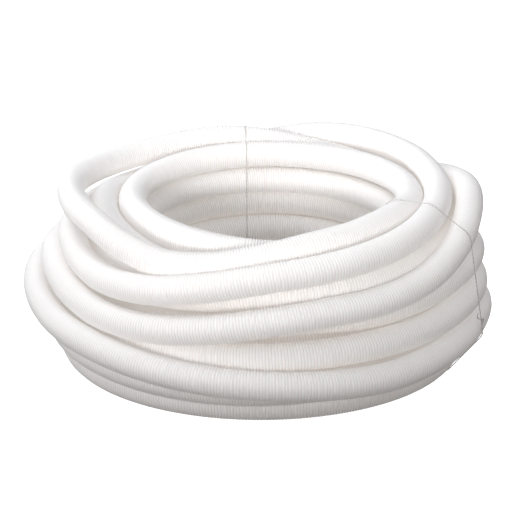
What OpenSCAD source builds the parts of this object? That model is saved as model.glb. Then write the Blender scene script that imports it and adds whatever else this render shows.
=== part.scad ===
// Coiled swimming pool vacuum hose with a fixed cuff, a swivel cuff and two twine ties.
// Millimetres, +Z up, -Y towards the viewer. The roll lies flat, its eye upright on Z.

/* [Hose] */
// Bore of the hose
hose_bore = 38; // [34:0.5:42]
// Wall of the hose, from its bore to the crest of a rib
hose_wall = 3.5; // [2.5:0.1:4.5]
// Distance from one rib to the next
rib_pitch = 4.5; // [3.5:0.25:6]
// Depth of the groove between two ribs
rib_depth = 1.5; // [0.8:0.1:2]
// Flat crest of a rib
rib_crest = 2.2; // [1.2:0.1:3]

/* [Coil] */
// Clear hole across the innermost turns
coil_hole = 387; // [380:1:460]
// Least space that the turns keep between them
turn_gap = 0.5; // [0.5:0.1:1.5]

/* [Outer end with the swivel cuff] */
// Free ribs between the coil and the swivel cuff
outer_free_ribs = 30; // [24:1:40]
// Depth that the hose goes into the swivel cuff's insert
insert_depth = 45; // [30:1:60]
// Wall of the insert
insert_wall = 2; // [1.5:0.1:3]
// Height of the insert's flange, which the collar turns behind
flange_height = 2.6; // [2:0.1:4]
// Thickness of that flange
flange_thick = 5; // [3:0.5:8]
// Wall of the collar around the flange
collar_wall = 2.6; // [2:0.1:4]
// Length of the collar's skirt on the insert, behind the flange
collar_skirt = 22; // [14:1:30]
// Wall of that skirt
skirt_wall = 3.5; // [2:0.1:4.5]
// Length of the collar's mouth
collar_mouth = 55; // [40:1:80]
// Grip ribs around the collar
grips = 16; // [8:1:24]

/* [Inner end with the fixed cuff] */
// Free ribs between the coil and the fixed cuff
inner_free_ribs = 5; // [3:1:7]
// Depth that the hose goes into the fixed cuff
cuff_depth = 33; // [25:1:36]
// Length of the fixed cuff's mouth
cuff_mouth = 40; // [32:1:44]
// Wall of the fixed cuff around the hose
cuff_wall = 2.5; // [2:0.1:3.2]

/* [Cuff mouths] */
// Bore of both mouths, for a 1 1/2 in fitting
mouth_bore = 38.4; // [34:0.1:39]
// Wall of both mouths
mouth_wall = 3.6; // [2.5:0.1:4.5]
// Lip that the hose end stops against
lip = 3; // [2:0.5:6]
// Chamfer on the cuffs' edges
chamfer = 1; // [0.5:0.1:1.5]

/* [Ties] */
// Thickness of the twine
twine = 2; // [1.5:0.1:3]
// Bearing of the tie at the back
tie_back_at = 94; // [92:1:100]
// Bearing of the tie at the right
tie_right_at = -26; // [-40:1:-15]

/* [Hidden] */
$fn = 96;
// Running fits of the collar on its insert
run_gap = 0.1;
end_gap = 0.3;
// Step by which the insert's lip stands back from the collar's bore
lip_relief = 0.8;
hose_od = hose_bore + 2 * hose_wall;
u = hose_od + turn_gap;
ring_reach = coil_hole / 2 / u + 0.5;
// The roll stands on its lowest turns, pressed flat by a tenth of the hose.
sink = hose_od / 10;
insert_r = hose_od / 2 + insert_wall;
flange_r = insert_r + flange_height;
collar_r = flange_r + end_gap + collar_wall;
cuff_r = hose_od / 2 + cuff_wall;
mouth_r = mouth_bore / 2 + mouth_wall;
outer_ribs = outer_free_ribs + floor(insert_depth / rib_pitch);
inner_ribs = inner_free_ribs + floor(cuff_depth / rib_pitch);

// The lay of the turns, chosen by eye from the photograph, from the outer end to the inner
// end. Each row is one turn: [out, up] at its left, front, right and back, in hose pitches;
// out is counted from the innermost ring's centreline and up from the floor.
first = [3.75, (collar_r + sink) / u];
lay = [
    [[2.10, 0.50], [2.01, 0.50], [2.05, 0.50], [1.95, 0.50]],
    [[1.05, 0.50], [0.96, 0.50], [1.01, 0.50], [1.05, 1.05]],
    [[1.50, 1.45], [1.55, 1.42], [1.05, 1.50], [1.95, 1.58]],
    [[2.45, 1.60], [2.65, 1.20], [2.07, 1.50], [2.95, 1.50]],
    [[3.13, 2.75], [3.33, 2.05], [2.92, 2.05], [3.00, 2.55]],
    [[2.20, 2.85], [2.59, 2.70], [2.85, 3.05], [2.00, 2.75]],
    [[1.50, 3.65], [1.75, 3.40], [2.97, 4.08], [1.65, 4.10]],
    [[0.90, 4.40], [1.75, 4.45], [2.35, 4.80], [2.75, 3.70]],
    [[2.47, 3.92], [2.85, 3.65], [2.42, 5.80], [2.60, 4.75]],
    [[1.95, 4.70], [2.58, 5.20], [1.53, 6.00], [2.52, 6.15]],
    [[1.05, 5.40], [0.70, 4.15], [1.35, 4.85], [1.32, 5.85]],
    [[1.97, 5.70], [1.55, 5.38], [0.57, 5.82], [0.32, 5.88]],
    [[0.11, 5.50], [0.47, 5.12], [0.35, 4.80], [0.37, 4.86]],
    [[-0.05, 4.40], [0.45, 3.20], [0.55, 3.70], [0.75, 3.91]],
    [[0.20, 3.42], [0.75, 2.30], [0.45, 2.70], [0.20, 3.05]],
    [[0.10, 2.42], [0.45, 1.42], [0.10, 1.60], [0.55, 2.10]],
    [[0.30, 1.45], [-0.05, 0.50], [0.00, 0.50]]
];
// Where a strand dips or leans between those places: [turn, half width in turns, out, up].
nudges = [
    [8.14, 0.14, 0.00, -0.60],
    [8.38, 0.12, 0.15, -0.47],
    [8.58, 0.10, -0.35, -0.30],
    [3.95, 0.14, 0.05, 0.48],
    [4.43, 0.12, -0.25, 0.40],
    [9.14, 0.14, 0.10, -0.60],
    [6.14, 0.14, 0.00, -0.25],
    [6.37, 0.12, 0.20, -0.35],
    [7.13, 0.12, 0.10, -0.40],
    [7.43, 0.14, -0.55, -0.20],
    [10.42, 0.16, -0.40, -0.50],
    [11.18, 0.12, 0.05, -0.75],
    [12.18, 0.12, 0.05, 0.05],
    [11.37, 0.12, -0.30, 0.05],
    [9.84, 0.18, 0.10, -0.90],
    [10.77, 0.08, -0.12, 0.14],
    [10.90, 0.12, -0.12, -0.30],
    [6.87, 0.12, 0.15, -0.40]
];
turn_steps = 24;
turn_from = -0.25;
turn_to = 16.5;
// Centrelines come no nearer than this, in hose pitches, once the turns have settled.
keep = 1.035;
rounds = 60;
last_rounds = 10;
share = 0.2;
// The inner end leaves the ring on an arc and lies straight across the floor of the hole.
arc_out = 0.75;
arc_turn = 120;
arc_step = 15;

function total(v, i = 0) = i >= len(v) ? [0, 0] : v[i] + total(v, i + 1);
function unit(v) = v / norm(v);
function between(v, lo, hi) = min(max(v, lo), hi);

// A smooth curve through the points of P, at q points from the first.
function smooth(P, q) =
    let (i = between(floor(q), 0, len(P) - 2), f = q - i,
         a = P[max(i - 1, 0)], b = P[i], c = P[i + 1], d = P[min(i + 2, len(P) - 1)])
    0.5 * (2 * b + (c - a) * f + (2 * a - 5 * b + 4 * c - d) * f * f
           + (3 * b - a - 3 * c + d) * f * f * f);

function nudge(t) =
    total([for (n = nudges) if (abs(t - n[0]) < n[1])
        (0.5 + 0.5 * cos(180 * (t - n[0]) / n[1])) * [n[2], n[3]]]);

// The lay as one list, with its first place mirrored so that the outer end leaves straight.
places = concat([lay[0][0], first], [for (row = lay) each row]);
as_laid = [for (k = [0 : (turn_to - turn_from) * turn_steps])
    let (t = turn_from + k / turn_steps)
    smooth(places, 1 + (t - turn_from) * 4) + nudge(t) + [ring_reach, 0]];

// One round of settling: strands that lie too near each other on one bearing are moved
// apart, and each strand shares its move with the stretches beside it.
function moved(P, i) =
    total([for (j = [i % turn_steps : turn_steps : len(P) - 1])
        let (d = P[i] - P[j], l = norm(d))
        if (j != i && l < keep) 0.45 * (keep - l) * d / l]);
function round_of(P, smoothing) =
    let (D = [for (i = [0 : len(P) - 1])
            i < 2 ? [0, 0] : P[i] + moved(P, i) - as_laid[i]],
         n = len(P) - 1)
    [for (i = [0 : n])
        let (s = smoothing && i > 1 && i < n
                ? share * D[i - 1] + (1 - 2 * share) * D[i] + share * D[i + 1] : D[i],
             p = as_laid[i] + s)
        [p[0], max(p[1], 0.5)]];
function settled(P, k = rounds) =
    k == 0 ? P : settled(round_of(P, k > last_rounds), k - 1);

function bearing(k) = 180 + 360 * (turn_from + k / turn_steps);
function on_bearing(p, a) = [u * p[0] * cos(a), u * p[0] * sin(a), u * p[1] - sink];

// The straight end of the hose's outer stretch and the arc to its inner stretch.
outer_at = [hose_od, u * (ring_reach + first[0]), u * first[1] - sink];
function arc_r(P) = P[len(P) - 1][0] - arc_out;
function arc_point(P, a) =
    let (r = arc_r(P), lift = (cuff_r - (u * 0.5 - sink)) * (0.5 - 0.5 * cos(180 * a / arc_turn)))
    [u * (arc_out + r * cos(a)), u * r * sin(a), u * 0.5 - sink + lift];
inner_way = [-sin(arc_turn), cos(arc_turn), 0];
function inner_at(P) = arc_point(P, arc_turn) + hose_od * inner_way;

function route(P) = concat(
    [outer_at],
    [for (k = [0 : len(P) - 1]) on_bearing(P[k], bearing(k))],
    [for (a = [arc_step : arc_step : arc_turn]) arc_point(P, a)],
    [inner_at(P)]);

// The roll is set about the middle of its length and depth.
function middle(R) =
    let (r = hose_od / 2, x = [for (p = R) p[0]], y = [for (p = R) p[1]])
    [(min(x) + max(x)) / 2, (min(y) - r + outer_at[1] + collar_r) / 2, 0];

// Half way between the route's points too, so that a near miss between two is measured.
function least_gap(R) =
    let (H = [for (i = [0 : len(R) - 2]) each [R[i], (R[i] + R[i + 1]) / 2]], n = len(H) - 1)
    min([for (i = [0 : n - turn_steps]) min([for (j = [i + turn_steps : n]) norm(H[i] - H[j])])])
    - hose_od;

// One unbroken tube along the points of R, six-sided, with a flat side down.
module tube(R, r) {
    n = len(R);
    last = 6 * (n - 1);
    way = [for (i = [0 : n - 1]) unit(R[min(i + 1, n - 1)] - R[max(i - 1, 0)])];
    points = [for (i = [0 : n - 1])
        let (side = unit(cross([0, 0, 1], way[i])), up = cross(way[i], side))
        for (a = [0 : 60 : 300])
            let (p = R[i] + r * (cos(a) * side + sin(a) * up))
            [p[0], p[1], max(p[2], 0)]];
    walls = [for (i = [0 : n - 2]) for (j = [0 : 5])
        let (a = 6 * i + j, b = 6 * i + (j + 1) % 6)
        each [[a, a + 6, b], [b, a + 6, b + 6]]];
    caps = [for (j = [1 : 4]) each [[0, j, j + 1], [last, last + j + 1, last + j]]];
    polyhedron(points, concat(walls, caps));
}

// A straight ribbed stretch of the hose from the origin along +X, with its bore.
module ribbed(ribs) {
    root = hose_od / 2 - rib_depth;
    slope = (rib_pitch - rib_crest) / 4;
    profile = [for (i = [0 : ribs - 1]) each [
        [root, i * rib_pitch + slope],
        [hose_od / 2, i * rib_pitch + 2 * slope],
        [hose_od / 2, i * rib_pitch + 2 * slope + rib_crest],
        [root, (i + 1) * rib_pitch - slope]]];
    rotate([0, 90, 0])
    rotate_extrude()
    polygon(concat([[hose_bore / 2, 0], [root, 0]], profile,
        [[root, ribs * rib_pitch], [hose_bore / 2, ribs * rib_pitch]]));
}

// Revolved about +X; points are [along, radius].
module turned(points) {
    rotate([0, 90, 0])
    rotate_extrude()
    polygon([for (p = points) [p[1], p[0]]]);
}

module at_outer_end() {
    translate(outer_at - middle(route(settled(as_laid))))
    children();
}

module at_inner_end() {
    S = settled(as_laid);
    translate(inner_at(S) - middle(route(S)))
    rotate([0, 0, 90 + arc_turn])
    children();
}

module hose_coil() {
    R = route(settled(as_laid));
    echo(str("least gap of the coil to itself, mm: ", least_gap(R)));
    color([0.93, 0.93, 0.91])
    translate(-middle(R))
    tube(R, hose_od / 2);
}

module hose_outer_end() {
    color([0.93, 0.93, 0.91])
    at_outer_end()
    ribbed(outer_ribs);
}

module hose_inner_end() {
    color([0.93, 0.93, 0.91])
    at_inner_end()
    ribbed(inner_ribs);
}

// The fixed cuff: a sleeve glued over the hose end, a stop lip, and the mouth for a fitting.
module fixed_cuff() {
    back = inner_ribs * rib_pitch - floor(cuff_depth / rib_pitch) * rib_pitch;
    stop = inner_ribs * rib_pitch;
    front = stop + cuff_mouth;
    bead = 4;
    waist_r = cuff_r - 0.8;
    taper = 6;
    color([0.90, 0.90, 0.88])
    at_inner_end()
    turned([
        [back, hose_od / 2], [back, cuff_r - chamfer], [back + chamfer, cuff_r],
        [back + bead, cuff_r], [back + bead + chamfer, waist_r], [stop, waist_r],
        [stop + taper, mouth_r], [front - bead - chamfer, mouth_r], [front - bead, cuff_r],
        [front - chamfer, cuff_r], [front, cuff_r - chamfer], [front, mouth_bore / 2 + chamfer],
        [front - chamfer, mouth_bore / 2], [stop, mouth_bore / 2], [stop, hose_od / 2]]);
}

// The swivel cuff's insert: glued on the hose, with the flange that the collar turns behind.
module swivel_insert() {
    stop = outer_ribs * rib_pitch;
    back = stop - floor(insert_depth / rib_pitch) * rib_pitch;
    flange = stop - flange_thick;
    lip_r = mouth_bore / 2 + lip_relief;
    color([0.82, 0.83, 0.84])
    at_outer_end()
    turned([
        [back, hose_od / 2], [back, insert_r - chamfer], [back + chamfer, insert_r],
        [flange, insert_r], [flange, flange_r], [stop, flange_r],
        [stop + lip, insert_r], [stop + lip, lip_r], [stop, lip_r], [stop, hose_od / 2]]);
}

// The collar runs on the insert behind its flange and carries the mouth for a fitting.
module swivel_collar() {
    stop = outer_ribs * rib_pitch;
    flange = stop - flange_thick;
    back = flange - collar_skirt;
    face = stop + lip + end_gap;
    front = face + collar_mouth;
    groove_r = flange_r + end_gap;
    skirt_r = insert_r + run_gap + skirt_wall;
    taper = 8;
    bead = 4;
    bead_r = mouth_r + 1.2;
    grip_inset = 11;
    grip_r = 2;
    color([0.90, 0.90, 0.88])
    at_outer_end()
    union() {
        turned([
            [back, insert_r + run_gap], [back, skirt_r - chamfer], [back + chamfer, skirt_r],
            [flange - taper, skirt_r], [flange - end_gap - collar_wall, collar_r],
            [face, collar_r], [face + taper, mouth_r], [front - bead - chamfer, mouth_r],
            [front - bead, bead_r], [front - chamfer, bead_r], [front, bead_r - chamfer],
            [front, mouth_bore / 2 + chamfer], [front - chamfer, mouth_bore / 2],
            [face, mouth_bore / 2], [face, groove_r],
            [flange - end_gap, groove_r], [flange - end_gap, insert_r + run_gap]]);
        for (i = [0 : grips - 1])
            rotate([360 * i / grips, 0, 0])
            translate([face + grip_inset, 0, mouth_r - grip_r / 2])
            rotate([0, 90, 0])
            cylinder(h = collar_mouth - 2 * grip_inset, r = grip_r, $fn = 24);
    }
}

// A twine tie drawn tight round all the strands on one bearing, pressed under the roll.
module tie(at) {
    S = settled(as_laid);
    turn = (at - 180) / 360;
    strands = [for (k = [0 : 17])
        let (q = (turn + k - turn_from) * turn_steps)
        if (q >= 0 && q <= len(S) - 1) smooth(S, q)];
    translate(-middle(route(S)))
    rotate([90, 0, at])
    translate([0, 0, -twine / 2])
    linear_extrude(twine)
    difference() {
        bundle(strands, hose_od / 2 + twine);
        bundle(strands, hose_od / 2);
    }
}

module bundle(strands, r) {
    hull()
    for (p = strands)
        translate([u * p[0], max(u * p[1] - sink, r)])
        circle(r, $fn = 36);
}

module tie_back() {
    color([0.80, 0.79, 0.74])
    tie(tie_back_at);
}

module tie_right() {
    color([0.80, 0.79, 0.74])
    tie(tie_right_at);
}

hose_coil();
hose_outer_end();
hose_inner_end();
fixed_cuff();
swivel_insert();
swivel_collar();
tie_back();
tie_right();
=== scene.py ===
"""A coiled pool vacuum hose: one ribbed hose wound in a roll, two twine ties, and a cuff on each end."""

import math

import bpy
import numpy as np
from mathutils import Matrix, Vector


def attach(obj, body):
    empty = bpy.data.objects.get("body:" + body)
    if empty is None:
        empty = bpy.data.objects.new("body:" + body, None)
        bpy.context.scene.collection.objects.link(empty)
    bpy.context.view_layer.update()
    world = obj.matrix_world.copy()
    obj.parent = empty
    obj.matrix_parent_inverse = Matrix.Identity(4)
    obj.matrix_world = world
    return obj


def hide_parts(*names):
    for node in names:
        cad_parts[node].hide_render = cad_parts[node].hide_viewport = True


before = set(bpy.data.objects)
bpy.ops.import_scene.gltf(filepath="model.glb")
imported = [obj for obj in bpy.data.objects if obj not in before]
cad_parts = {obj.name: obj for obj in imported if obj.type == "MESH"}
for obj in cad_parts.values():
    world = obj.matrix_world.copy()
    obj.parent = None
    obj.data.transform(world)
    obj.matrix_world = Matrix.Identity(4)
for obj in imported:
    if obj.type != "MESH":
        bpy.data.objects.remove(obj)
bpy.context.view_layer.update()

# Sizes, in metres, as in the part's source.
HOSE_OD = 0.045
HOSE_BORE = 0.038
RIB_PITCH = 0.0045
RIB_DEPTH = 0.0015
COIL_HOLE = 0.387
PITCH = HOSE_OD + 0.0005
SINK = HOSE_OD / 10
COLLAR_R = 0.030
CUFF_R = 0.025
OUTER_RIBS = 40
INNER_RIBS = 12
TWINE = 0.0018

# The lay of the turns, chosen from the photograph, from the outer end to the inner end.
# Each row is one turn: (out, up) at its left, front, right and back, in hose pitches.
FIRST = (3.75, (COLLAR_R + SINK) / PITCH)
LAY = [
    [(2.10, 0.50), (2.01, 0.50), (2.05, 0.50), (1.95, 0.50)],
    [(1.05, 0.50), (0.96, 0.50), (1.01, 0.50), (1.05, 1.05)],
    [(1.50, 1.45), (1.55, 1.42), (1.05, 1.50), (1.95, 1.58)],
    [(2.45, 1.60), (2.65, 1.20), (2.07, 1.50), (2.95, 1.50)],
    [(3.13, 2.75), (3.33, 2.05), (2.92, 2.05), (3.00, 2.55)],
    [(2.20, 2.85), (2.59, 2.70), (2.85, 3.05), (2.00, 2.75)],
    [(1.50, 3.65), (1.75, 3.40), (2.97, 4.08), (1.65, 4.10)],
    [(0.90, 4.40), (1.75, 4.45), (2.35, 4.80), (2.75, 3.70)],
    [(2.47, 3.92), (2.85, 3.65), (2.42, 5.80), (2.60, 4.75)],
    [(1.95, 4.70), (2.58, 5.20), (1.53, 6.00), (2.52, 6.15)],
    [(1.05, 5.40), (0.70, 4.15), (1.35, 4.85), (1.32, 5.85)],
    [(1.97, 5.70), (1.55, 5.38), (0.57, 5.82), (0.32, 5.88)],
    [(0.11, 5.50), (0.47, 5.12), (0.35, 4.80), (0.37, 4.86)],
    [(-0.05, 4.40), (0.45, 3.20), (0.55, 3.70), (0.75, 3.91)],
    [(0.20, 3.42), (0.75, 2.30), (0.45, 2.70), (0.20, 3.05)],
    [(0.10, 2.42), (0.45, 1.42), (0.10, 1.60), (0.55, 2.10)],
    [(0.30, 1.45), (-0.05, 0.50), (0.00, 0.50)],
]
# Where a strand dips or leans between those places: (turn, half width in turns, out, up).
NUDGES = [
    (8.14, 0.14, 0.00, -0.60),
    (8.38, 0.12, 0.15, -0.47),
    (8.58, 0.10, -0.35, -0.30),
    (3.95, 0.14, 0.05, 0.48),
    (4.43, 0.12, -0.25, 0.40),
    (9.14, 0.14, 0.10, -0.60),
    (6.14, 0.14, 0.00, -0.25),
    (6.37, 0.12, 0.20, -0.35),
    (7.13, 0.12, 0.10, -0.40),
    (7.43, 0.14, -0.55, -0.20),
    (10.42, 0.16, -0.40, -0.50),
    (11.18, 0.12, 0.05, -0.75),
    (12.18, 0.12, 0.05, 0.05),
    (11.37, 0.12, -0.30, 0.05),
    (9.84, 0.18, 0.10, -0.90),
    (10.77, 0.08, -0.12, 0.14),
    (10.90, 0.12, -0.12, -0.30),
    (6.87, 0.12, 0.15, -0.40),
]
TURN_STEPS = 24
TURN_FROM = -0.25
TURN_TO = 16.5
KEEP = 1.035
ROUNDS = 60
LAST_ROUNDS = 10
SHARE = 0.2
ARC_OUT = 0.75
ARC_TURN = 120.0
RING_REACH = COIL_HOLE / 2 / PITCH + 0.5

# The camera, found by laying the route over the photograph: distances in hose pitches.
CAMERA_ELEVATION = 18.94
CAMERA_DISTANCE = 65.06
CAMERA_AIM = (0.14, 0.0, 3.10)
CAMERA_LENS = 121.3

# Light: a dome that is bright overhead and dim at its rim, a large soft key high on the left,
# a fill from low in front and a weak cool light from the left.
SKY_WAY = (-0.06, 0.07, 1.0)
SKY_STOPS = [
    (0.0, (0.03, 0.025, 0.02)),
    (0.5, (0.245, 0.23, 0.226)),
    (0.72, (0.55, 0.56, 0.58)),
    (1.0, (0.55, 0.57, 0.60)),
]
KEY_POWER = 26
FILL_POWER = 440
SIDE_POWER = 11
FLOOR_HALF = 30
FLOOR_Z = -0.0004
WALL_TOP = 15

# Detail of the meshes.
SIDES = 20
RINGS_A_RIB = 4
# Strength of the painted shade in the hose's grooves.
GROOVE_PAINTED_SHADE = 0.6
BORE_SIDES = 32
BORE_STEP = 0.004
BORE_RINGS = 30
TWINE_STEP = 0.0007
PLY_SIDES = 10
PLY_TURN = 0.007
PLY_REACH = (0.9, 0.16)

# The ties: name, bearing, lean, skew, height of the knot, and for each loose end its length
# along the tie (down where it is negative), its sway to the side and its lift at the tip.
TIES = [
    ("tie_back", 94, 0, 18, 0.27, [(-0.04, -0.014, 0.003), (-0.028, 0.018, 0.004)]),
    ("tie_right", -26, -27, 0, 0.10, [(0.022, -0.026, 0.004), (-0.02, -0.012, 0.003)]),
]
LEAN_FROM = 0.15
TURNS_MOST = 18


# ---------------------------------------------------------------- the route of the hose

def smooth(points, q):
    """A smooth curve through the points, at q points from the first."""
    q = np.atleast_1d(np.asarray(q, float))
    last = len(points) - 1
    i = np.clip(np.floor(q).astype(int), 0, last - 1)
    f = (q - i)[:, None]
    a, b = points[np.maximum(i - 1, 0)], points[i]
    c, d = points[i + 1], points[np.minimum(i + 2, last)]
    return 0.5 * (
        2 * b + (c - a) * f + (2 * a - 5 * b + 4 * c - d) * f**2 + (3 * b - a - 3 * c + d) * f**3
    )


def as_laid():
    places = np.array([LAY[0][0], FIRST] + [place for row in LAY for place in row])
    turns = TURN_FROM + np.arange(round((TURN_TO - TURN_FROM) * TURN_STEPS) + 1) / TURN_STEPS
    laid = smooth(places, 1 + (turns - TURN_FROM) * 4)
    for turn, half, out, up in NUDGES:
        near = np.abs(turns - turn) < half
        swell = np.where(near, 0.5 + 0.5 * np.cos(math.pi * (turns - turn) / half), 0.0)
        laid += swell[:, None] * np.array([out, up])
    return laid + np.array([RING_REACH, 0.0])


def settled():
    """The lay with every two strands on one bearing moved apart to their full distance."""
    laid = as_laid()
    at = laid.copy()
    for left in range(ROUNDS, 0, -1):
        push = np.zeros_like(at)
        for bearing in range(TURN_STEPS):
            strands = at[bearing::TURN_STEPS]
            apart = strands[:, None] - strands[None]
            length = np.linalg.norm(apart, axis=-1)
            np.fill_diagonal(length, KEEP)
            short = np.clip(KEEP - length, 0, None)
            push[bearing::TURN_STEPS] = 0.45 * ((short / length)[..., None] * apart).sum(1)
        move = at + push - laid
        move[:2] = 0
        if left > LAST_ROUNDS:
            shared = move.copy()
            shared[2:-1] = SHARE * move[1:-2] + (1 - 2 * SHARE) * move[2:-1] + SHARE * move[3:]
            move = shared
        at = laid + move
        at[:, 1] = np.maximum(at[:, 1], 0.5)
    return at


def on_bearing(stations, turns):
    """Points in metres for stations (reach, height) in pitches, at these turns."""
    angle = math.pi + 2 * math.pi * np.asarray(turns)
    reach, height = PITCH * stations[:, 0], PITCH * stations[:, 1] - SINK
    return np.stack([reach * np.cos(angle), reach * np.sin(angle), height], 1)


def straight(start, way, length, step=0.004):
    along = np.arange(step, length + 1e-9, step)
    return start + along[:, None] * way


STATIONS = settled()
OUTER_Y = PITCH * (RING_REACH + FIRST[0])
# The source sets the roll about the middle of its own points, one for each station.
MARKS = on_bearing(STATIONS, TURN_FROM + np.arange(len(STATIONS)) / TURN_STEPS)
MIDDLE = np.array([
    (MARKS[:, 0].min() + MARKS[:, 0].max()) / 2,
    (MARKS[:, 1].min() - HOSE_OD / 2 + OUTER_Y + COLLAR_R) / 2,
    0.0,
])


def centreline():
    """The hose's centreline from its end in the swivel cuff to its end in the fixed cuff."""
    floor_z = PITCH * 0.5 - SINK
    turns = np.arange(TURN_FROM, TURN_TO, 1 / 240)
    roll = on_bearing(smooth(STATIONS, (turns - TURN_FROM) * TURN_STEPS), turns)
    out_end = np.array([HOSE_OD + OUTER_RIBS * RIB_PITCH, OUTER_Y, PITCH * FIRST[1] - SINK])
    lead = straight(out_end, np.array([-1.0, 0, 0]), out_end[0] - 0.004)
    radius = STATIONS[-1][0] - ARC_OUT
    bend = np.arange(0, ARC_TURN + 0.1, 1.5)
    angle = np.radians(bend)
    lift = (CUFF_R - floor_z) * (0.5 - 0.5 * np.cos(np.pi * bend / ARC_TURN))
    arc = np.stack([
        PITCH * (ARC_OUT + radius * np.cos(angle)),
        PITCH * radius * np.sin(angle),
        floor_z + lift,
    ], 1)
    way = np.array([-math.sin(angle[-1]), math.cos(angle[-1]), 0.0])
    tail = straight(arc[-1], way, HOSE_OD + INNER_RIBS * RIB_PITCH, 0.003)
    return np.concatenate([out_end[None], lead, roll, arc, tail]) - MIDDLE


def resampled(line, step):
    """The line's points, a step apart along it, with the distance of each."""
    run = np.concatenate([[0], np.cumsum(np.linalg.norm(np.diff(line, axis=0), axis=1))])
    at = np.arange(0, run[-1], step)
    return np.stack([np.interp(at, run, line[:, k]) for k in range(3)], 1), run[-1]


# ---------------------------------------------------------------- mesh helpers

def mesh_object(name, points, faces, smooth_shading=True):
    mesh = bpy.data.meshes.new(name)
    mesh.vertices.add(len(points))
    mesh.vertices.foreach_set("co", np.asarray(points, np.float32).ravel())
    faces = np.asarray(faces, np.int32)
    mesh.loops.add(faces.size)
    mesh.loops.foreach_set("vertex_index", faces.ravel())
    mesh.polygons.add(len(faces))
    mesh.polygons.foreach_set("loop_start", np.arange(0, faces.size, faces.shape[1], dtype=np.int32))
    mesh.update(calc_edges=True)
    mesh.validate()
    mesh.polygons.foreach_set("use_smooth", np.full(len(faces), smooth_shading))
    thing = bpy.data.objects.new(name, mesh)
    bpy.context.scene.collection.objects.link(thing)
    return thing


def frames(line):
    """The unit side and up directions across a line that never runs upright."""
    way = np.gradient(line, axis=0)
    way /= np.linalg.norm(way, axis=1)[:, None]
    side = np.cross([0.0, 0.0, 1.0], way)
    side /= np.linalg.norm(side, axis=1)[:, None]
    return side, np.cross(way, side)


def grid_faces(rows, sides, shift=0):
    """Quads of a tube of rows of vertices; its seam climbs by shift rows."""
    row = np.arange(rows - 1)[:, None]
    side = np.arange(sides)[None]
    after = (side + 1) % sides
    climb = np.where(side == sides - 1, shift, 0)
    a = row * sides + side
    b = (row + climb) * sides + after
    faces = np.stack([a, b, b + sides, a + sides], -1).reshape(-1, 4)
    return faces[faces.max(1) < rows * sides]


# ---------------------------------------------------------------- materials

def material(name, colour, roughness, **sockets):
    made = bpy.data.materials.new(name)
    made.use_nodes = True
    shader = made.node_tree.nodes["Principled BSDF"]
    shader.inputs["Base Color"].default_value = (*colour, 1)
    shader.inputs["Roughness"].default_value = roughness
    for socket, value in sockets.items():
        shader.inputs[socket.replace("_", " ")].default_value = value
    return made


def link(tree, from_node, from_socket, to_node, to_socket):
    tree.links.new(from_node.outputs[from_socket], to_node.inputs[to_socket])


def mottled(made, scale, low, high, socket="Base Color"):
    """Soft noise between two colours or values, in the object's own coordinates."""
    tree = made.node_tree
    place = tree.nodes.new("ShaderNodeTexCoord")
    noise = tree.nodes.new("ShaderNodeTexNoise")
    noise.inputs["Scale"].default_value = scale
    noise.inputs["Detail"].default_value = 4
    ramp = tree.nodes.new("ShaderNodeValToRGB")
    ramp.color_ramp.elements[0].position = 0.22
    ramp.color_ramp.elements[1].position = 0.78
    ramp.color_ramp.elements[0].color = (*low, 1)
    ramp.color_ramp.elements[1].color = (*high, 1)
    link(tree, place, "Object", noise, "Vector")
    link(tree, noise, "Fac", ramp, "Fac")
    link(tree, ramp, "Color", tree.nodes["Principled BSDF"], socket)
    return made


def rough_and_bumpy(made, scale, low, high, height):
    """Uneven gloss, and a fine grain of this height in metres."""
    tree = made.node_tree
    mottled(made, scale, (low,) * 3, (high,) * 3, "Roughness")
    place = tree.nodes.new("ShaderNodeTexCoord")
    grain = tree.nodes.new("ShaderNodeTexNoise")
    grain.inputs["Scale"].default_value = 40 * scale
    bump = tree.nodes.new("ShaderNodeBump")
    bump.inputs["Distance"].default_value = height
    bump.inputs["Strength"].default_value = 0.5
    link(tree, place, "Object", grain, "Vector")
    link(tree, grain, "Fac", bump, "Height")
    link(tree, bump, "Normal", tree.nodes["Principled BSDF"], "Normal")
    return made


def hose_plastic_painted_light():
    # Thin white plastic with a painted glow: an even, warm emission over the whole hose stands in for
    # light coming through the plastic and lifts the shade where the turns hide each other. Its grooves
    # get painted shade: their colour is mixed darker than the crests'.
    made = material(
        "hose_plastic_painted_light", (0.9, 0.9, 0.88), 0.38, IOR=1.47,
        Emission_Color=(1.0, 0.935, 0.87, 1), Emission_Strength=0.11,
    )
    mottled(made, 9.0, (0.94, 0.925, 0.915), (0.965, 0.955, 0.95))
    rough_and_bumpy(made, 22.0, 0.32, 0.46, 0.00006)
    tree = made.node_tree
    shader = tree.nodes["Principled BSDF"]
    crest = shader.inputs["Base Color"].links[0].from_node
    # Painted shade: the groove mask mixes the colour towards a darker warm grey in the grooves.
    painted_shade_mask = tree.nodes.new("ShaderNodeAttribute")
    painted_shade_mask.attribute_name = "groove"
    shade = tree.nodes.new("ShaderNodeMix")
    shade.data_type = "RGBA"
    shade.inputs[7].default_value = (0.66, 0.62, 0.59, 1)
    link(tree, painted_shade_mask, "Fac", shade, 0)
    link(tree, crest, "Color", shade, 6)
    link(tree, shade, 2, shader, "Base Color")
    return made


def cuff_plastic_painted_glow():
    # Painted glow: a faint even emission, as on the hose, stands in for light coming through the
    # plastic.
    made = material(
        "cuff_plastic_painted_glow", (0.9, 0.9, 0.88), 0.32, IOR=1.48,
        Emission_Color=(1.0, 0.95, 0.9, 1), Emission_Strength=0.04,
    )
    mottled(made, 30.0, (0.88, 0.87, 0.855), (0.92, 0.91, 0.90))
    return rough_and_bumpy(made, 30.0, 0.26, 0.40, 0.00008)


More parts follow.
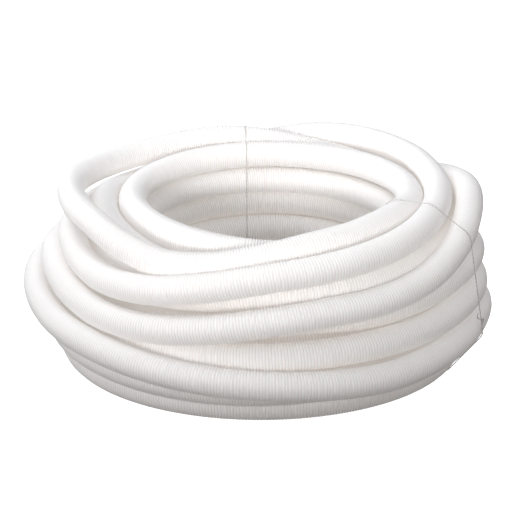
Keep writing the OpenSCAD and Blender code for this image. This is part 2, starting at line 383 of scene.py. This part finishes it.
def insert_plastic():
    made = material("insert_plastic", (0.68, 0.69, 0.70), 0.35, IOR=1.48)
    mottled(made, 40.0, (0.64, 0.65, 0.66), (0.70, 0.71, 0.72))
    return rough_and_bumpy(made, 40.0, 0.28, 0.42, 0.00005)


def twine_fibre():
    made = material("twine_fibre", (0.60, 0.58, 0.56), 0.8, Sheen_Weight=0.2)
    mottled(made, 260.0, (0.56, 0.54, 0.52), (0.72, 0.70, 0.68))
    return rough_and_bumpy(made, 120.0, 0.7, 0.9, 0.0001)


# ---------------------------------------------------------------- the camera and the stage

def on_roll(x, y, z):
    """A place in metres for one given in hose pitches from the roll's axis on the floor."""
    return Vector((x * PITCH, y * PITCH, z * PITCH - SINK)) - Vector(MIDDLE)


def add_camera():
    data = bpy.data.cameras.new("camera")
    data.lens = CAMERA_LENS
    data.sensor_width = 36
    data.clip_end = 50
    camera = bpy.data.objects.new("camera", data)
    rise = math.radians(CAMERA_ELEVATION)
    aim = on_roll(*CAMERA_AIM)
    away = CAMERA_DISTANCE * PITCH
    camera.location = aim + Vector((0, -math.cos(rise), math.sin(rise))) * away
    camera.rotation_euler = (math.pi / 2 - rise, 0, 0)
    bpy.context.scene.collection.objects.link(camera)
    bpy.context.scene.camera = camera


def add_light(name, kind, place, aim, power, colour):
    data = bpy.data.lights.new(name, kind)
    data.energy = power
    data.color = colour
    lamp = bpy.data.objects.new(name, data)
    lamp.location = place
    lamp.rotation_euler = (Vector(aim) - Vector(place)).to_track_quat("-Z", "Y").to_euler()
    bpy.context.scene.collection.objects.link(lamp)
    return data


def add_stage():
    corners = [(-1, -1), (1, -1), (1, 1), (-1, 1)]
    points = [(x * FLOOR_HALF, y * FLOOR_HALF, FLOOR_Z) for x, y in corners]
    floor = mesh_object("floor", points, [(0, 1, 2, 3)], False)
    paper = material("floor_paper", (0.9, 0.9, 0.9), 0.9)
    shader = paper.node_tree.nodes["Principled BSDF"]
    shader.inputs["Emission Color"].default_value = (1, 1, 1, 1)
    shader.inputs["Emission Strength"].default_value = 1.0
    # The same sheet stands up all round, far off, for the views from low down.
    points += [(x, y, WALL_TOP) for x, y, _ in points]
    walls = [(0, 1, 5, 4), (1, 2, 6, 5), (2, 3, 7, 6), (3, 0, 4, 7)]
    backdrop = mesh_object("backdrop", points, walls, False)
    backdrop.visible_shadow = False
    # The white sheet is lit through to pure white and throws no light back at the hose.
    for sheet in (floor, backdrop):
        sheet.data.materials.append(paper)
        sheet.visible_diffuse = False
        sheet.visible_glossy = False
    add_sky()
    key = add_light("key", "AREA", (-1.3, 0.45, 2.8), (0, 0, 0.1), KEY_POWER, (0.95, 0.975, 1.0))
    key.shape = "DISK"
    key.size = 2.0
    # The fill comes from low in front and is brightest above the roll, so it fades down its side.
    fill = add_light("fill", "SPOT", (-0.5, -2.85, 0.85), (0, 0, 0.66), FILL_POWER, (0.98, 0.985, 1.0))
    fill.spot_size = math.radians(26)
    fill.spot_blend = 1.0
    fill.shadow_soft_size = 0.4
    side = add_light("side", "AREA", (-2.6, -0.9, 0.75), (0, 0, 0.15), SIDE_POWER, (0.93, 0.97, 1.0))
    side.shape = "DISK"
    side.size = 1.2


def add_sky():
    """A white dome above that fades towards the floor."""
    world = bpy.data.worlds.new("studio")
    world.use_nodes = True
    tree = world.node_tree
    sky = tree.nodes["Background"]
    place = tree.nodes.new("ShaderNodeTexCoord")
    tilt = tree.nodes.new("ShaderNodeVectorMath")
    tilt.operation = "DOT_PRODUCT"
    tilt.inputs[1].default_value = SKY_WAY
    ramp = tree.nodes.new("ShaderNodeValToRGB")
    stops = ramp.color_ramp.elements
    for place_on, _ in SKY_STOPS[1:-1]:
        stops.new(place_on)
    for stop, (_, colour) in zip(stops, SKY_STOPS):
        stop.color = (*colour, 1)
    spread = tree.nodes.new("ShaderNodeMapRange")
    spread.inputs["From Min"].default_value = -1
    link(tree, place, "Generated", tilt, 0)
    link(tree, tilt, "Value", spread, "Value")
    link(tree, spread, "Result", ramp, "Fac")
    link(tree, ramp, "Color", sky, "Color")
    bpy.context.scene.world = world


# ---------------------------------------------------------------- the hose

def add_bore(name, line, plastic):
    """The hose's end as its cuff's mouth shows it: the cut wall and the smooth bore behind it."""
    side, up = frames(line)
    line = np.concatenate([line[:1], line])
    side, up = np.concatenate([side[:1], side]), np.concatenate([up[:1], up])
    radius = np.full(len(line), HOSE_BORE / 2)
    radius[0] = HOSE_OD / 2 - RIB_DEPTH
    angle = 2 * math.pi * np.arange(BORE_SIDES) / BORE_SIDES
    spoke = np.cos(angle)[None, :, None] * side[:, None] + np.sin(angle)[None, :, None] * up[:, None]
    points = line[:, None] + radius[:, None, None] * spoke
    bore = mesh_object(name, points.reshape(-1, 3), grid_faces(len(line), BORE_SIDES))
    bore.data.materials.append(plastic)
    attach(bore, "roll")


def add_hose():
    step = RIB_PITCH / RINGS_A_RIB
    fine = step / SIDES * 2
    line, length = resampled(centreline(), fine)
    side, up = frames(line)
    rows = int((length - RIB_PITCH) / step)
    # Crests are broad and rounded, and the groove between two of them is narrow.
    radii = {4: (0.0, 0.12, 1.0, 0.75), 2: (0.0, 1.0)}[RINGS_A_RIB]
    row = np.arange(rows)
    radius = HOSE_OD / 2 - RIB_DEPTH * np.array(radii)[row % RINGS_A_RIB]
    around = np.arange(SIDES)
    distance = row[:, None] * step + RIB_PITCH * around[None] / SIDES
    index = np.minimum((distance / fine).round().astype(int), len(line) - 1)
    angle = 2 * math.pi * around / SIDES
    spoke = np.cos(angle)[None, :, None] * side[index] + np.sin(angle)[None, :, None] * up[index]
    points = line[index] + radius[:, None, None] * spoke
    points[..., 2] = np.maximum(points[..., 2], 0)
    hose = mesh_object("hose", points.reshape(-1, 3), grid_faces(rows, SIDES, RINGS_A_RIB))
    # Painted shade mask: each ring's place in its groove, scaled by the painted shade's strength.
    groove = hose.data.attributes.new("groove", "FLOAT", "POINT")
    painted_shade_amount = np.repeat(np.array(radii)[row % RINGS_A_RIB], SIDES) * GROOVE_PAINTED_SHADE
    groove.data.foreach_set("value", painted_shade_amount.astype(np.float32))
    plastic = hose_plastic_painted_light()
    hose.data.materials.append(plastic)
    add_bore("hose_bore_swivel", resampled(line, BORE_STEP)[0][1:BORE_RINGS], plastic)
    add_bore("hose_bore_fixed", resampled(line[::-1], BORE_STEP)[0][1:BORE_RINGS], plastic)
    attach(hose, "roll")
    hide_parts("hose_coil", "hose_outer_end", "hose_inner_end")


# ---------------------------------------------------------------- the ties

def hull(points):
    """The convex outline of points in a plane, anticlockwise."""
    points = sorted(map(tuple, points))

    def chain(run):
        kept = []
        for p in run:
            while len(kept) > 1:
                (ax, ay), (bx, by) = kept[-2], kept[-1]
                if (bx - ax) * (p[1] - ay) - (by - ay) * (p[0] - ax) > 0:
                    break
                kept.pop()
            kept.append(p)
        return kept[:-1]

    return np.array(chain(points) + chain(points[::-1]))


def tie_line(bearing, lean, skew):
    """A twine's centreline, tight round the strands. Lean and skew turn it, in degrees a metre:
    lean on its way up, and skew on its way in from its outer side."""
    turn = (bearing - 180) / 360
    turns = turn + np.arange(TURNS_MOST)
    turns = turns[(turns >= TURN_FROM) & (turns <= TURN_TO)]
    strands = smooth(STATIONS, (turns - TURN_FROM) * TURN_STEPS)
    radius = HOSE_OD / 2 + TWINE * 0.45
    angle = np.radians(np.arange(0, 360, 5))
    rim = np.stack([np.cos(angle), np.sin(angle)], 1) * radius
    centres = np.stack([strands[:, 0] * PITCH, strands[:, 1] * PITCH - SINK], 1)
    outline = hull((centres[:, None] + rim[None]).reshape(-1, 2))
    ring = np.pad(np.concatenate([outline, outline[:1]]), ((0, 0), (0, 1)))
    ring = resampled(ring, TWINE_STEP)[0][:-1]
    inward = ring[:, 0].max() - ring[:, 0]
    turned = np.radians(bearing + lean * (ring[:, 1] - LEAN_FROM) + skew * inward)
    height = np.maximum(ring[:, 1], TWINE / 2)
    return np.stack([ring[:, 0] * np.cos(turned), ring[:, 0] * np.sin(turned), height], 1) - MIDDLE


def twine_tube(line, closed=False):
    """Two-ply twine along the line: a tube whose two plies wind round each other."""
    way = np.roll(line, -1, 0) - np.roll(line, 1, 0) if closed else np.gradient(line, axis=0)
    way /= np.linalg.norm(way, axis=1)[:, None]
    spoke = np.cross(way, [0.31, 0.95, 0.05])
    spoke /= np.linalg.norm(spoke, axis=1)[:, None]
    other = np.cross(way, spoke)
    angle = 2 * math.pi * np.arange(PLY_SIDES) / PLY_SIDES
    run = np.concatenate([[0], np.cumsum(np.linalg.norm(np.diff(line, axis=0), axis=1))])
    length = run[-1] + (np.linalg.norm(line[0] - line[-1]) if closed else 0)
    turns = round(length / PLY_TURN)
    ply = np.cos(2 * angle[None] - 2 * math.pi * turns * run[:, None] / length)
    radius = TWINE / 2 * (PLY_REACH[0] + PLY_REACH[1] * ply)[..., None]
    points = line[:, None] + radius * (
        np.cos(angle)[None, :, None] * spoke[:, None] + np.sin(angle)[None, :, None] * other[:, None]
    )
    last = (len(line) - 1) * PLY_SIDES
    if closed:
        k = np.arange(PLY_SIDES)
        after = (k + 1) % PLY_SIDES
        ends = np.stack([last + k, last + after, after, k], 1)
    else:
        k = np.arange(1, PLY_SIDES - 1, 2)
        cap = np.stack([0 * k, k, k + 1, k + 2], 1)
        ends = np.concatenate([cap[:, ::-1], last + cap])
    faces = np.concatenate([grid_faces(len(line), PLY_SIDES), ends])
    return points.reshape(-1, 3), faces


def knot(centre, out, down, across):
    """A small overhand knot drawn into a lump, flat on the tie."""
    turn = np.linspace(0, 2 * math.pi, 90, endpoint=False)
    x = np.sin(turn) + 2 * np.sin(2 * turn)
    y = np.cos(turn) - 2 * np.cos(2 * turn)
    z = -1.2 * np.sin(3 * turn)
    size = TWINE * 0.62
    return centre + size * (x[:, None] * across + y[:, None] * down + z[:, None] * out)


def tail(run, out, across, sway, lift):
    """A loose end of the twine: it leaves the knot along the tie, sways off and springs out."""
    far = np.linspace(0, 1, len(run))[:, None]
    return run + out * (TWINE + lift * far**2) + across * sway * np.sin(1.9 * far) ** 1.5


def add_tie(name, bearing, lean, skew, knot_height, tails, fibre):
    line = tie_line(bearing, lean, skew)
    # The knot sits on the outer side of the roll.
    outer = np.linalg.norm(line[:, :2] + MIDDLE[:2], axis=1) > PITCH * RING_REACH + 0.06
    near = np.where(outer, np.abs(line[:, 2] - knot_height), 9).argmin()
    centre = line[near]
    down = line[near - 8] - centre
    down /= np.linalg.norm(down)
    across = np.cross([0, 0, 1.0], centre + MIDDLE)
    across /= np.linalg.norm(across)
    out = np.cross(down, across)
    out *= np.sign(out @ (centre + MIDDLE))
    lump = knot(centre + out * TWINE * 1.3, out, down, across)
    parts = [twine_tube(line, True), twine_tube(lump, True)]
    for length, sway, lift in tails:
        count = int(abs(length) / TWINE_STEP)
        run = line[near:near + count] if length > 0 else line[near - count:near][::-1]
        parts.append(twine_tube(tail(run, out, across, sway, lift)))
    points, faces, start = [], [], 0
    for part_points, part_faces in parts:
        points.append(part_points)
        faces.append(part_faces + start)
        start += len(part_points)
    tie = mesh_object(name + "_twine", np.concatenate(points), np.concatenate(faces))
    tie.data.materials.append(fibre)
    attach(tie, "roll")
    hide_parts(name)


# ---------------------------------------------------------------- the cuffs

def dress_cuffs():
    cuff, insert = cuff_plastic_painted_glow(), insert_plastic()
    for node, made in (("fixed_cuff", cuff), ("swivel_collar", cuff), ("swivel_insert", insert)):
        thing = bpy.data.objects[node]
        thing.data.materials.clear()
        thing.data.materials.append(made)


add_camera()
add_hose()
add_stage()
twine = twine_fibre()
for tie in TIES:
    add_tie(*tie, twine)
dress_cuffs()
bpy.context.scene.view_settings.view_transform = "Standard"
